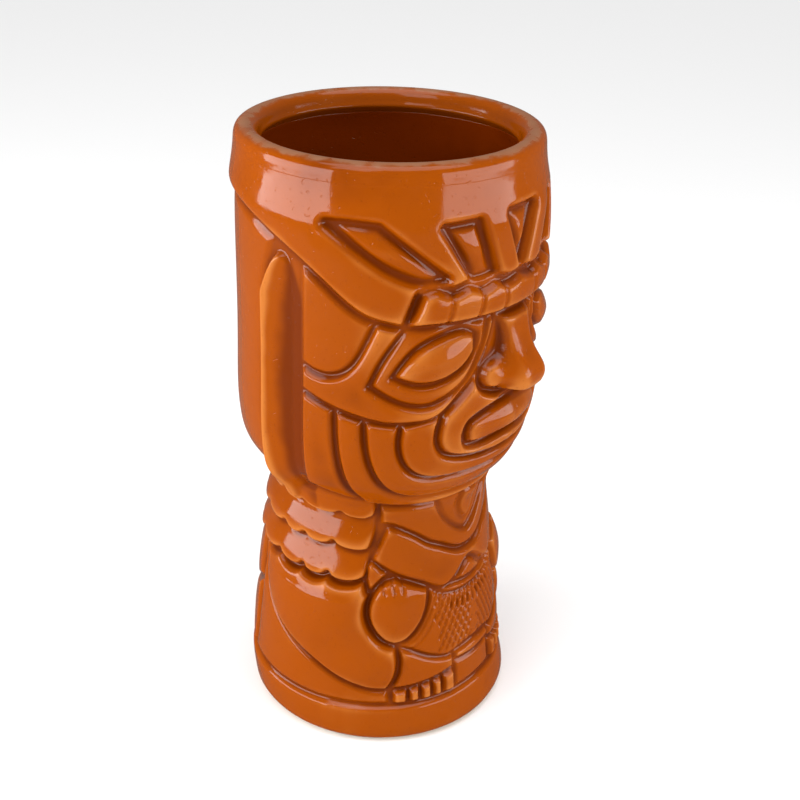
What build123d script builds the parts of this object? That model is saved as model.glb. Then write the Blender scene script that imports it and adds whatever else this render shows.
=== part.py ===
"""Tiki mug: a glazed slip casting of a seated idol, with a big masked head over a small body.

The mug is one hollow casting.  Its wall is made here in five zones, from foot to lip, and every
carved mass that stands proud of the wall is a solid of its own, seated on the wall with a
groove around it.  Millimetres, +Z up, the figure faces -Y, the origin is on the axis at the foot.
"""

import os
from math import cos, radians, sin

from build123d import *

# ---------------------------------------------------------------- driving dimensions
height = 165.0          # foot to lip
neck_height = 66.5      # foot to the narrowest place, between body and head
foot_height = 12.0      # plain ring that the figure sits on
lip_height = 8.0        # plain rolled lip above the crown
head_radius = 39.4      # outside of the head
neck_radius = 29.2      # outside of the neck
foot_radius = 36.4      # outside of the foot ring
lip_wall = 7.4          # clay across the rolled lip
head_wall_thick = 5.4   # clay behind the head's outside
throat_wall_thick = 4.2     # and behind the neck's
foot_wall_thick = 8.4   # and behind the foot's
foot_ring_width = 7.4   # bare ring that the mug stands on
floor_height = 8.0      # foot to the floor of the cup
foot_recess_depth = 1.6
groove_depth = 1.6      # carved lines, down to the wall
groove_width = 1.3
nose_reach = 6.6        # nose tip beyond the head
lip_round = 3.0         # rounding of the lip's two edges
foot_round = 1.5        # rounding of the foot ring's shoulder

mouth_radius = head_radius - lip_wall
head_bore_radius = head_radius - head_wall_thick
throat_bore_radius = neck_radius - throat_wall_thick
body_bore_radius = foot_radius - foot_wall_thick
foot_recess_radius = foot_radius - foot_ring_width      # unglazed hollow under the foot

# The figure is drawn on a body of drawn_neck and a head of drawn_height, and follows the sizes.
drawn_neck = 66.5
drawn_height = 165.0
drawn_foot = 12.0
drawn_crown_top = 157.0

crown_top = height - lip_height
jaw_height = 84.0       # drawn level where the head's wall stands upright


def level(z):
    """Real height of a drawn height: foot, body and head each stretch by themselves."""
    marks = ((0, 0), (drawn_foot, foot_height), (drawn_neck, neck_height),
             (drawn_crown_top, crown_top), (drawn_height, height))
    for (low, low_real), (high, high_real) in zip(marks, marks[1:]):
        if z <= high:
            return low_real + (z - low) * (high_real - low_real) / (high - low)
    return height


# Outside of the finished figure: drawn height and radius, from the foot ring to the lip.
body_profile = [
    (12.0, foot_radius - 0.4),
    (24.0, neck_radius + 0.79 * (foot_radius - neck_radius)),
    (40.0, neck_radius + 0.56 * (foot_radius - neck_radius)),
    (54.0, neck_radius + 0.24 * (foot_radius - neck_radius)),
    (66.5, neck_radius),
]
head_profile = [
    (66.5, neck_radius),
    (73.0, neck_radius + 0.33 * (head_radius - neck_radius)),
    (78.0, neck_radius + 0.72 * (head_radius - neck_radius)),
    (84.0, head_radius - 0.4),
    (92.0, head_radius + 0.5),
    (120.0, head_radius),
    (157.0, head_radius - 0.4),
]


def figure_radius(z):
    """Outside radius of the finished figure at a drawn height."""
    profile = body_profile + head_profile[1:]
    for (low, low_radius), (high, high_radius) in zip(profile, profile[1:]):
        if z <= high:
            return low_radius + (z - low) * (high_radius - low_radius) / (high - low)
    return profile[-1][1]


def profile_points(profile, proud=0.0):
    return [(radius + proud, level(z)) for z, radius in profile]


def facing(angle):
    """Upright plane on the axis that looks out at an angle from the front, + towards +X."""
    turn = radians(angle)
    return Plane(origin=(0, 0, 0), x_dir=(cos(turn), sin(turn), 0), z_dir=(sin(turn), -cos(turn), 0))


def draw(runs, angle):
    """Draw an outline of (degrees from the front, drawn height) points: each run is smooth."""
    for run in runs:
        places = [(figure_radius(z) * sin(radians(turn - angle)), level(z)) for turn, z in run]
        if len(places) == 2:
            Line(*places)
        else:
            Spline(*places)


def relief_layer(proud):
    """Ring of clay between the wall and the figure's outside, from the foot to the crown's top."""
    with BuildPart() as layer:
        with BuildSketch(Plane.XZ):
            with BuildLine():
                Spline(*profile_points(body_profile, -groove_depth))
                Spline(*profile_points(head_profile, -groove_depth))
                Line((head_profile[-1][1] - groove_depth, crown_top),
                     (head_profile[-1][1] + proud, crown_top))
                Spline(*profile_points(head_profile, proud))
                Spline(*profile_points(body_profile, proud))
                Line((body_profile[0][1] + proud, foot_height),
                     (body_profile[0][1] - groove_depth, foot_height))
            make_face()
        revolve(axis=Axis.Z)
    return layer.part


far = 3 * head_radius   # longer than any cut
layers = {proud: relief_layer(proud) for proud in (-0.5, 0.0, 0.6, 1.2)}


def inset(runs, angle):
    """Edges of an outline less half a groove, in order, in the x and y of its plane."""
    with BuildSketch() as flat:
        with BuildLine():
            draw(runs, angle)
        make_face()
        offset(amount=-groove_width / 2, kind=Kind.ARC)
    return flat.sketch.face().outer_wire().order_edges()


def redraw(edges, spans=6):
    """Draw a closed ring of edges again, each as one line or one plain spline, end to end."""
    start = end = edges[0] @ 0
    for edge in edges:
        places = [end] + [edge @ (step / spans) for step in range(1, spans + 1)]
        if edge is edges[-1]:
            places[-1] = start
        if edge.geom_type == GeomType.LINE:
            Line(end, places[-1])
        else:
            Spline(*places)
        end = places[-1]


def carve(runs, angle, proud=0.0, both=False):
    """A carved mass: its outline, less half a groove, through the layer of its height."""
    with BuildPart() as mass:
        with BuildSketch(facing(angle)):
            with BuildLine():
                redraw(inset(runs, angle))
            make_face()
        extrude(amount=far)
        add(layers[proud], mode=Mode.INTERSECT)
        if both:
            split(bisect_by=Plane.YZ, keep=Keep.TOP)
            mirror(about=Plane.YZ)
    return mass.part


def keep(part, name):
    part.label = name
    export_step(part, f"parts/{name}.step")


def keep_pair(part, name):
    """Keep a mass of the figure's +X half and its mirror image."""
    keep(mirror(part, about=Plane.YZ), f"{name}_left")
    keep(part, f"{name}_right")


os.makedirs("parts", exist_ok=True)

# ---------------------------------------------------------------- the casting's wall
with BuildPart() as casting:
    with BuildSketch(Plane.XZ):
        with BuildLine():
            Polyline((0, floor_height), (body_bore_radius - 3, floor_height),
                     (body_bore_radius, floor_height + 3), (throat_bore_radius, neck_height - 4),
                     (throat_bore_radius, neck_height + 4), (head_bore_radius, level(jaw_height)),
                     (head_bore_radius, crown_top), (mouth_radius, crown_top + 3),
                     (mouth_radius, height), (head_profile[-1][1], height),
                     (head_profile[-1][1], crown_top), (head_profile[-1][1] - groove_depth, crown_top))
            Spline(*profile_points(head_profile, -groove_depth))
            Spline(*profile_points(body_profile, -groove_depth))
            Polyline((body_profile[0][1] - groove_depth, foot_height), (foot_radius, foot_height),
                     (foot_radius, 0), (foot_recess_radius, 0),
                     (foot_recess_radius - foot_recess_depth, foot_recess_depth),
                     (0, foot_recess_depth), (0, floor_height))
        make_face()
    revolve(axis=Axis.Z)

zones = {
    "foot_ring": (0, foot_recess_depth),
    "foot": (foot_recess_depth, foot_height),
    "body_wall": (foot_height, neck_height - 4),
    "throat_wall": (neck_height - 4, level(jaw_height)),
    "head_wall": (level(jaw_height), crown_top),
    "lip": (crown_top, height),
}
for name, (low, high) in zones.items():
    with BuildPart() as zone:
        add(casting.part)
        with Locations((0, 0, low)):
            Box(far, far, high - low, align=(Align.CENTER, Align.CENTER, Align.MIN),
                mode=Mode.INTERSECT)
        if name == "lip":
            top = zone.edges().filter_by(GeomType.CIRCLE).group_by(Axis.Z)[-1]
            fillet(top, radius=lip_round)
        if name == "foot_ring":
            bottom = zone.edges().filter_by(GeomType.CIRCLE).group_by(Axis.Z)[0]
            fillet(bottom.sort_by(SortBy.RADIUS)[-1], radius=0.9 * foot_recess_depth)
        if name == "foot":
            top = zone.edges().filter_by(GeomType.CIRCLE).group_by(Axis.Z)[-1]
            fillet(top.sort_by(SortBy.RADIUS)[-1], radius=foot_round)
    keep(zone.part, name)

with BuildPart() as core:       # the wall's outside, filled, for masses that are not of one layer
    with BuildSketch(Plane.XZ):
        with BuildLine():
            Spline(*profile_points(body_profile, -groove_depth))
            Spline(*profile_points(head_profile, -groove_depth))
            Polyline((head_profile[-1][1] - groove_depth, crown_top), (0, crown_top),
                     (0, foot_height), (body_profile[0][1] - groove_depth, foot_height))
        make_face()
    revolve(axis=Axis.Z)

# Outlines below are runs of (degrees from the front, drawn height), one half of the figure.
# Neighbours share their line, which is the middle of the groove between them.
middle = -3             # past the middle plane, where a mass crosses it

# ---------------------------------------------------------------- crown
brim = [(50, 126.8), (55, 127.3), (63, 130), (73, 135), (83, 140), (93, 143.5), (110, 147.5),
        (128, 150), (180, 151)]
crown_cuts = {
    "outer": (52, [[(73, 151), (56, 151)], [(56, 151), (33, 138.2)],
                   [(33, 138.2), (43, 138.5), (53, 141), (63, 145.5), (73, 151)]]),
    "inner": (24, [[(33.5, 150.5), (21, 151)], [(21, 151), (13.5, 138.5)],
                   [(13.5, 138.5), (22, 138)], [(22, 138), (33.5, 150.5)]]),
}
centre_cut = [[(-6.75, 151.5), (6.75, 151.5)], [(6.75, 151.5), (0, 139)], [(0, 139), (-6.75, 151.5)]]

with BuildPart() as crown:
    add(carve([[(0, 136.3), (20, 136.6), (45, 135.5)], [(45, 135.5), (50, 126.8)], brim,
               [(180, 151), (180, 160)], [(180, 160), (0, 160)], [(0, 160), (0, 136.3)]], 90))
    for angle, runs in crown_cuts.values():
        with BuildSketch(facing(angle)):
            with BuildLine():
                draw(runs, angle)
            make_face()
        extrude(amount=far, mode=Mode.SUBTRACT)
    split(bisect_by=Plane.YZ, keep=Keep.TOP)
    mirror(about=Plane.YZ)
    with BuildSketch(facing(0)):
        with BuildLine():
            draw(centre_cut, 0)
        make_face()
    extrude(amount=far, mode=Mode.SUBTRACT)
keep(crown.part, "crown")

# ---------------------------------------------------------------- brow
brow_ends = [(9, 8.5), (21, 18), (32.5, 29.5), (46, 41.5)]      # degrees at the foot and the top
brow_low, brow_high = 126.2, 135.4
segments = [((-9, -8.5), (9, 8.5))]
for near, away in zip(brow_ends, brow_ends[1:]):
    segments.append((near, away))
    segments.append(((-away[0], -away[1]), (-near[0], -near[1])))
with BuildPart() as brow:
    for (foot_a, top_a), (foot_b, top_b) in segments:
        add(carve([[(foot_a, brow_low), (foot_b, brow_low)], [(foot_b, brow_low), (top_b, brow_high)],
                   [(top_b, brow_high), ((top_a + top_b) / 2, brow_high + 0.8), (top_a, brow_high)],
                   [(top_a, brow_high), (foot_a, brow_low)]], 0, proud=0.6))
keep(brow.part, "brow")

# ---------------------------------------------------------------- nose
with BuildPart() as nose:
    with BuildSketch(facing(0)):
        with BuildLine():
            draw([[(0, 105.8), (9, 106.6), (15, 108.5), (16, 112), (10, 115.5), (6.5, 120), (8, 125.6)],
                  [(8, 125.6), (-8, 125.6)],
                  [(-8, 125.6), (-6.5, 120), (-10, 115.5), (-16, 112), (-15, 108.5), (-9, 106.6),
                   (0, 105.8)]], 0)
        make_face()
    extrude(amount=far)
    with BuildSketch(Plane.YZ):
        with BuildLine():
            bridge = head_radius + 1.2
            tip = head_radius + nose_reach
            Spline((-bridge, level(126)), (-bridge - 0.8, level(120)), (-tip + 0.6, level(112.5)),
                   (-tip, level(110)), (-tip + 1.6, level(106.5)), (-bridge - 1, level(105)))
            Polyline((-bridge - 1, level(105)), (0, level(105)), (0, level(126)),
                     (-bridge, level(126)))
        make_face()
    extrude(amount=head_radius, both=True, mode=Mode.INTERSECT)
    add(core.part, mode=Mode.SUBTRACT)
keep(nose.part, "nose")

# ---------------------------------------------------------------- eyes and the mask around them
eye_top = [(50, 114), (43, 120.5), (36, 123.2), (28, 124.6), (20, 123.8)]
eye_foot = [(20, 119), (23, 116.4), (27, 114), (32, 112.3), (38, 111.6), (50, 114)]
lid_top = [(58, 111.5), (53, 119.5), (46, 125.8)]
lid_foot = [(14.8, 125.8), (15.7, 120.9), (18.5, 116.4), (22.5, 111.8), (27, 109.1), (31.6, 107.3),
            (36, 106.1), (43, 106.3), (50, 107.8), (58, 111.5)]
mask_foot = [(84, 108), (73, 105), (63, 103), (53, 101.5), (43, 101.4), (36, 102), (31.6, 103.6),
             (27, 106.4), (22.5, 109.3), (18, 113), (14.5, 117.5), (12.3, 121.5), (11.2, 125.8)]
temple_foot = [(57, 126), (61, 121), (65, 116), (70, 113.5), (78, 113), (84, 114.5)]
eye_runs = [eye_top, [(20, 123.8), (20, 119)], eye_foot]

keep_pair(carve(eye_runs, 40, proud=0.6), "eye")

with BuildPart() as surround:
    add(carve([lid_top, [(46, 125.8), (14.8, 125.8)], lid_foot], 40))
    with BuildSketch(facing(40)):
        with BuildLine():
            draw(eye_runs, 40)
        make_face()
    extrude(amount=far, mode=Mode.SUBTRACT)
keep_pair(surround.part, "eye_surround")

keep_pair(carve([mask_foot, [(11.2, 125.8), (14.8, 125.8)], lid_foot, lid_top,
                 [(46, 125.8), (57, 126)], temple_foot, [(84, 114.5), (84, 108)]], 45), "mask")
keep_pair(carve([temple_foot, [(84, 114.5), (84, 139)],
                 [(84, 139), (73, 133.6), (63, 128.6), (57, 126)]], 70, proud=-0.5), "temple")
keep_pair(carve([[(86, 85), (86, 130)], [(86, 130), (89, 137), (93, 140.5)],
                 [(93, 140.5), (97, 137), (101, 130)], [(101, 130), (101, 85)],
                 [(101, 85), (86, 85)]], 93, proud=1.2), "ear")
keep_pair(carve([[(84, 107.6), (78, 106), (71, 104.5)], [(71, 104.5), (70, 90), (66, 80), (61, 75)],
                 [(61, 75), (72, 78.5), (84, 82)], [(84, 82), (84, 107.6)]], 70), "cheek")

keep(carve([[(103.5, 84), (103.5, 145)], [(103.5, 145), (110, 147), (128, 149.6), (150, 150.6), (183, 151)],
            [(183, 151), (183, 76)], [(183, 76), (150, 77), (125, 79), (103.5, 84)]], 145,
           both=True), "hair_back")

# ---------------------------------------------------------------- beard: bands round the mouth
beard_lines = [
    [(71, 104.6), (70, 90), (66, 80), (61, 75), (45, 72.9), (middle, 72.4)],
    [(60.5, 102.6), (59, 92), (53, 83), (45, 78), (36, 76.3), (middle, 75.8)],
    [(47, 101.4), (48, 95), (44, 88), (38, 84.7), (28, 83.7), (middle, 83.5)],
    [(31.6, 103.6), (33.2, 99), (33.5, 95.5), (31, 92.3), (23, 89.4), (middle, 88.6)],
]
for name, outer, inner in zip(("outer", "middle", "inner"), beard_lines, beard_lines[1:]):
    keep(carve([outer, [outer[-1], inner[-1]], inner, [inner[0], outer[0]]], 35, both=True),
         f"beard_{name}")

# ---------------------------------------------------------------- muzzle and lower lip
keep(carve([[(17, 112.6), (18, 113), (22.5, 109.3), (27, 106.4), (31.6, 103.6)], beard_lines[3],
            [(middle, 88.6), (middle, 93.6)],
            [(middle, 93.6), (4.4, 93.4), (18, 92.6), (22.6, 94.5), (22.8, 97.3)],
            [(22.8, 97.3), (21.2, 99), (18.5, 100.5), (14, 101.8), (7, 102.6), (middle, 102.8)],
            [(middle, 102.8), (middle, 105.4)],
            [(middle, 105.4), (9, 106), (15, 107.6), (17, 109.5), (17, 112.6)]], 20, both=True),
     "muzzle")
keep(carve([[(middle, 93.8), (4.4, 93.6), (17, 93), (21.5, 94.8), (21.8, 97.3)],
            [(21.8, 97.3), (18, 99.5), (12, 100.8), (6, 101.3), (middle, 101.4)],
            [(middle, 101.4), (middle, 93.8)]], 10, proud=0.6, both=True), "lower_lip")

# ---------------------------------------------------------------- scalloped hair on the neck
scallop_drop = 2.0
tiers = {               # lower edge and top, first degree from the front, scallops round the back
    "upper": (67.8, 71.6, 57, 14),
    "middle": (58.0, 67.4, 58, 14),
    "lower": (48.8, 57.4, 61, 13),
}
for name, (low, high, start, count) in tiers.items():
    pitch = 2 * (180 - start) / count
    with BuildPart() as tier:
        add(layers[0.0])
        with Locations((0, 0, level(low))):
            Box(far, far, level(high) - level(low), align=(Align.CENTER, Align.CENTER, Align.MIN),
                mode=Mode.INTERSECT)
        with BuildSketch(Plane.XY):
            with BuildLine():
                Polyline((0, 0), (far * sin(radians(start)), -far * cos(radians(start))),
                         (far, -4 * far), (-far, -4 * far),
                         (-far * sin(radians(start)), -far * cos(radians(start))), (0, 0))
            make_face()
        extrude(amount=height, mode=Mode.SUBTRACT)
        half_notch = figure_radius(low) * sin(radians(pitch / 2.6))
        for place in range(1, count):
            with BuildSketch(facing(start + place * pitch)):
                with BuildLine():
                    Line((-half_notch, level(low) - 1), (half_notch, level(low) - 1))
                    for end in (half_notch, -half_notch):
                        Spline((end, level(low) - 1), (end * 0.4, level(low) + scallop_drop * 0.45),
                               (0, level(low) + scallop_drop))
                make_face()
            extrude(amount=far, mode=Mode.SUBTRACT)
    keep(tier.part, f"hair_tier_{name}")

# ---------------------------------------------------------------- collar, pendant and sash
collar_foot = [(middle, 54.2), (7.4, 54.9), (13, 56.2), (18.6, 57.8), (27.4, 60), (33, 62),
               (41, 64.8), (48, 66.2), (54.5, 66.2)]
sash_foot = [(58, 56), (53, 53.9), (46.3, 51.7), (41, 50.3), (33, 48.7), (27.4, 47), (23, 45.8),
             (17, 45.3), (13, 46.1), (7.4, 48.2), (3, 49.8), (middle, 50.2)]
keep(carve([collar_foot, [(54.5, 66.2), (54.5, 71.8)], [(54.5, 71.8), (25.5, 71.8)],
            [(25.5, 71.8), (19.7, 67.6), (13, 63.7), (7.4, 61), (2, 59.5), (middle, 59.3)],
            [(middle, 59.3), (middle, 54.2)]], 28, both=True), "collar")
keep(carve([[(-10, 71.8), (-3, 70.5), (2.5, 68)], [(2.5, 68), (-2, 66.4), (-6, 64.8)],
            [(-6, 64.8), (-4.5, 62.6), (0, 62), (5, 64)], [(5, 64), (7.5, 67.5), (6.5, 71.8)],
            [(6.5, 71.8), (-10, 71.8)]], 0, proud=-0.5), "pendant")
keep(carve([collar_foot[:-1], [(48, 66.2), (50, 65.6), (54, 62), (58, 56)], sash_foot,
            [(middle, 50.2), (middle, 54.2)]], 28, both=True), "sash")
keep(carve([[(-12.6, 45.9), (-7, 48), (0, 49.9), (7, 48), (12.6, 45.9)],
            [(12.6, 45.9), (0, 44.9), (-12.6, 45.9)]], 0), "belt_knot")
keep(carve([[(-20, 45), (0, 44.4), (20, 45)], [(20, 45), (20, 41.8)], [(20, 41.8), (0, 41.2), (-20, 41.8)],
            [(-20, 41.8), (-20, 45)]], 0), "belt_roll")

fringe_teeth = 9
tooth_pitch = 4.6       # degrees
with BuildPart() as fringe:
    for count in range(fringe_teeth):
        turn = (count - (fringe_teeth - 1) / 2) * tooth_pitch
        add(carve([[(turn - 2.1, 41), (turn + 2.1, 41)], [(turn + 2.1, 41), (turn + 1.9, 38.4)],
                   [(turn + 1.9, 38.4), (turn - 1.9, 38.4)], [(turn - 1.9, 38.4), (turn - 2.1, 41)]],
                  0, proud=-0.5))
keep(fringe.part, "fringe")

# ---------------------------------------------------------------- arms, legs and feet
hand_side = [(57.6, 48), (59.4, 44), (59.2, 40.5), (56, 35.4), (52, 32.8), (46.5, 30.9)]
hand_inside = [(46.5, 30.9), (41, 31.6), (36, 34), (32, 37), (28.8, 41), (27.6, 46.9)]
apron_foot = [(46.5, 30.9), (44.6, 30.3), (38, 28.9), (32, 26.9), (23, 24.4), (17, 23.7), (13, 24.2),
              (middle, 24.8)]
leg_foot = [(47.4, 16.6), (63, 17.8), (73, 20), (83, 23), (93, 26), (103, 29), (113, 33), (119, 37),
            (123, 42)]
keep_pair(carve([hand_side, hand_inside, [(27.6, 46.9), (33, 48.7), (41, 50.3), (46.3, 51.7)],
                 [(46.3, 51.7), (51, 51.6), (57.6, 48)]], 42, proud=0.6), "hand")
keep(carve([apron_foot, [(middle, 24.8), (middle, 38)], [(middle, 38), (22.5, 38.2)],
            [(22.5, 38.2), (22.5, 45.2)], [(22.5, 45.2), (27.6, 46.9)], hand_inside], 22,
           proud=-0.5, both=True), "apron")
ankle = [(46, 30.3), (45.2, 25), (46, 21.2), (47.4, 16.6)]
keep_pair(carve([hand_side, [(46.5, 30.9), (46, 30.3)], ankle, leg_foot, [(123, 42), (122, 48.3)],
                 [(122, 48.3), (90, 48.3), (66, 48.6), (57.6, 48)]], 85, proud=0.6), "leg")
keep_pair(carve([[(44.6, 30.3), (38, 28.9), (32, 26.9), (23, 24.4), (17, 23.7), (14.2, 24)],
                 [(14.2, 24), (14.2, 19)], [(14.2, 19), (21, 18.4), (27, 17.6), (33, 17.1), (47.4, 16.6)],
                 [(47.4, 16.6), (44.6, 21.2), (43.6, 25), (44.6, 30.3)]], 30), "foot_top")

toe_lines = [14.2, 21.7, 27.2, 33, 39, 46.6]    # degrees, from the big toe outwards
toe_tops = [19, 18.2, 17.4, 17, 16.8, 16.4]
with BuildPart() as toes:
    for near, away, high, low in zip(toe_lines, toe_lines[1:], toe_tops, toe_tops[1:]):
        add(carve([[(near, 12), (near, high)], [(near, high), (away, low)],
                   [(away, low), (away, 12)], [(away, 12), (near, 12)]], 30))
keep_pair(toes.part, "toes")

keep(carve([[(-13.4, 12), (-13.4, 21.2)], [(-13.4, 21.2), (0, 20.4), (13.4, 21.2)],
            [(13.4, 21.2), (13.4, 12)], [(13.4, 12), (-13.4, 12)]], 0, proud=-0.5), "front_flap")
keep(carve([[(-13.4, 21.2), (0, 20.4), (13.4, 21.2)], [(13.4, 21.2), (13.4, 24.2)],
            [(13.4, 24.2), (0, 24.8), (-13.4, 24.2)], [(-13.4, 24.2), (-13.4, 21.2)]], 0), "flap_band")
keep_pair(carve([[(48, 12), (126, 12)], [(126, 12), (126, 44.5)],
                 [(126, 44.5), (123, 42)] + leg_foot[-2::-1], [(47.4, 16.6), (48, 12)]], 85), "robe_side")
keep(carve([[(130, 12), (183, 12)], [(183, 12), (183, 27)], [(183, 27), (150, 28), (130, 33)],
            [(130, 33), (130, 12)]], 150, both=True), "robe_back_low")
keep(carve([[(130, 33), (150, 28), (183, 27)], [(183, 27), (183, 48.3)], [(183, 48.3), (130, 48.3)],
            [(130, 48.3), (130, 33)]], 150, both=True), "robe_back_high")
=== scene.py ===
"""Tiki mug: the glazed skin of a slip casting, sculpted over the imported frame, in metres.

The skin is drawn on the mug's own surface: every carved mass is an outline in degrees from the
front and millimetres above the table, and one height field raises the masses and sinks the cut
lines between them.  Each mass becomes a closed piece of its own, cut out along its lines.
"""
from math import cos, pi, radians, sin

import bmesh
import bpy
import numpy as np
from mathutils import Matrix, Vector


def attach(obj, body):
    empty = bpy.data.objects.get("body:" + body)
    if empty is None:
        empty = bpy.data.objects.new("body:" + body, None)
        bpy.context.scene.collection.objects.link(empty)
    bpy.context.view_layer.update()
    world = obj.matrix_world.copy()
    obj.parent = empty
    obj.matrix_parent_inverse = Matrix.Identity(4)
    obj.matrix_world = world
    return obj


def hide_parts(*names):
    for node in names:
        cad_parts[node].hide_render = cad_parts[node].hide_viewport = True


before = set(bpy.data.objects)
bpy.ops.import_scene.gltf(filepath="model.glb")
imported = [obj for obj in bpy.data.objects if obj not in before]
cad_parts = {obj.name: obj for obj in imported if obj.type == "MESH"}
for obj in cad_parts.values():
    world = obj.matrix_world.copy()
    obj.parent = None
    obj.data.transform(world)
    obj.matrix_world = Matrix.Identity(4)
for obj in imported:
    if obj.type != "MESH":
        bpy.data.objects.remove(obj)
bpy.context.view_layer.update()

MM = 0.001
HEIGHT = 165.0          # mm, foot to lip
FOOT_TOP = 12.0         # the cut line over the plain foot
GROOVE = 1.5            # depth of a cut line
DEGREE = 0.62           # mm, about the width of a degree at the surface
FLAT_FLOOR = 0.3        # mm from a cut line's middle to where its side starts up
SWELL_START = 0.5       # mm in from an edge, where a mass starts to swell
SWELL_RUN = 2.2         # mm over which the swelling builds up
LEAN = 1.5              # mm that the body stands back of the head
CHIN_SLANT = 1.7        # mm that the chin slants in
UNEVEN = 0.05           # mm, so that the cast is never quite true


# ---------------------------------------------------------------- curves
def spline(knots_x, knots_y, x):
    """Natural cubic spline through the knots, evaluated at x."""
    kx, ky = np.array(knots_x, float), np.array(knots_y, float)
    h = np.diff(kx)
    n = len(kx)
    system = np.eye(n)
    right = np.zeros(n)
    for i in range(1, n - 1):
        system[i, i - 1:i + 2] = h[i - 1], 2 * (h[i - 1] + h[i]), h[i]
        right[i] = 6 * ((ky[i + 1] - ky[i]) / h[i] - (ky[i] - ky[i - 1]) / h[i - 1])
    bend = np.linalg.solve(system, right)
    x = np.clip(x, kx[0], kx[-1])
    i = np.clip(np.searchsorted(kx, x) - 1, 0, n - 2)
    a, b = (kx[i + 1] - x) / h[i], (x - kx[i]) / h[i]
    return (a * ky[i] + b * ky[i + 1]
            + ((a ** 3 - a) * bend[i] + (b ** 3 - b) * bend[i + 1]) * h[i] ** 2 / 6)


def ease(low, high, x):
    """0 below low, 1 above high, smooth between (low may be above high)."""
    t = np.clip((x - low) / (high - low), 0, 1)
    return t * t * (3 - 2 * t)


def bump(x, y, middle_x, middle_y, wide, tall):
    """Round swelling, 1 in the middle."""
    return np.exp(-((x - middle_x) / wide) ** 2 - ((y - middle_y) / tall) ** 2)


def smooth_run(points, per_gap=8):
    """Points along a curve through the given points; two points stay a line."""
    points = np.array(points, float)
    if len(points) == 2:
        return points
    steps = np.r_[0, np.cumsum(np.linalg.norm(np.diff(points, axis=0), axis=1))]
    s = np.interp(np.linspace(0, len(points) - 1, per_gap * (len(points) - 1) + 1),
                  np.arange(len(points)), steps)
    return np.stack([spline(steps, points[:, 0], s), spline(steps, points[:, 1], s)], axis=1)


def outline(*runs):
    """Closed outline from runs of (degrees, mm) points; each run is smooth, corners are between."""
    return np.concatenate([smooth_run(run)[:-1] for run in runs])


# ---------------------------------------------------------------- the figure's outside
# Height and radius in mm, up the outside, without the carving.
SIDE_Z = [1.6, 2.4, 4, 8, 12, 16, 24, 32, 40, 48, 56, 61, 65, 68, 70.5, 73.5, 77.5, 82, 88, 95,
          105, 120, 140, 150, 157, 160.5]
SIDE_R = [36.2, 36.5, 36.7, 36.6, 36.1, 35.6, 34.9, 34.1, 33.2, 31.9, 30.6, 30.0, 29.5, 29.3, 30.0,
          31.2, 34.4, 37.9, 39.6, 40.0, 39.8, 39.5, 39.4, 39.2, 38.9, 38.6]


def side_radius(z):
    return spline(SIDE_Z, SIDE_R, z)


# The lip, from its outside over the crest to the sharp edge inside: radius and height in mm.
LIP = [(38.6, 160.5), (38.51, 161.5), (38.36, 162.8), (37.8, 164.1), (36.5, 164.8), (35.0, 165.0),
       (33.6, 164.5), (32.6, 163.2), (32.0, 161.6), (31.7, 160.6), (31.9, 160.2)]

# ---------------------------------------------------------------- outlines of the carved masses
# One half of the figure: degrees from the front, mm above the table.  Neighbours share a line.
BACK, FRONT = 184, -4                       # past the middle planes
EAR_FRONT = 84.5
EAR_BACK = 102.0
BRIM = [(46.5, 126.3), (52, 127), (60, 128.6), (68, 132), (76, 136.4), (85, 140.6), (96, 144.4),
        (110, 147.8), (128, 150), (150, 151), (BACK, 151.3)]
CROWN_PANELS = {
    "outer": outline([(74, 151.2), (66, 151.4), (56, 151)], [(56, 151), (33, 138.4)],
                     [(33, 138.4), (38, 137.6), (44, 138.4), (53, 141.2), (63, 145.8), (74, 151.2)]),
    "inner": outline([(33.6, 150.5), (21, 151)], [(21, 151), (14, 138)],
                     [(14, 138), (22, 137.6)], [(22, 137.6), (33.6, 150.5)]),
    "centre": outline([(FRONT, 151.6), (7.2, 151.6)], [(7.2, 151.6), (0, 138.8)],
                      [(0, 138.8), (FRONT, 145)], [(FRONT, 145), (FRONT, 151.6)]),
}
BROW_TOP = [(41.5, 135.6), (36, 136.6), (30, 135.4), (24, 136.5), (18, 135.4), (13, 136.4),
            (8.5, 135.5), (0, 136.2), (FRONT, 136)]
BROW_FOOT = [(46.5, 126.3), (32, 126.4), (15, 126.6), (FRONT, 126.6)]
EYE_TOP = [(50.5, 113.9), (43, 120.6), (36, 123.4), (29, 124.8), (23, 124.6), (19.8, 123.2)]
EYE_FOOT = [(19.8, 119.2), (23, 116.3), (27, 114), (32, 112.3), (38, 111.5), (44, 112), (50.5, 113.9)]
LID_TOP = [(58.5, 111.4), (54.5, 117.6), (50, 122.6), (46.5, 126.3)]
LID_FOOT = [(14.6, 126.6), (15.7, 120.9), (18.5, 116.4), (22.5, 111.8), (27, 109.1), (31.6, 107.3),
            (36, 106.2), (43, 106.2), (50, 107.8), (58.5, 111.4)]
MASK_FOOT = [(EAR_FRONT, 108.2), (73, 105), (63, 103), (53, 101.5), (43, 101.4), (36, 102), (31.6, 103.6),
             (27, 106.4), (22.5, 109.3), (18, 113), (14.5, 117.5), (12.3, 121.5), (11, 126.6)]
TEMPLE_FOOT = [(56.5, 127.8), (60.5, 121.5), (65, 116.2), (70, 113.7), (77, 113.2), (EAR_FRONT, 115)]
JAW = [(EAR_FRONT, 80.5), (72, 77), (61, 74.2), (45, 72.6), (FRONT, 72)]
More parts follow.
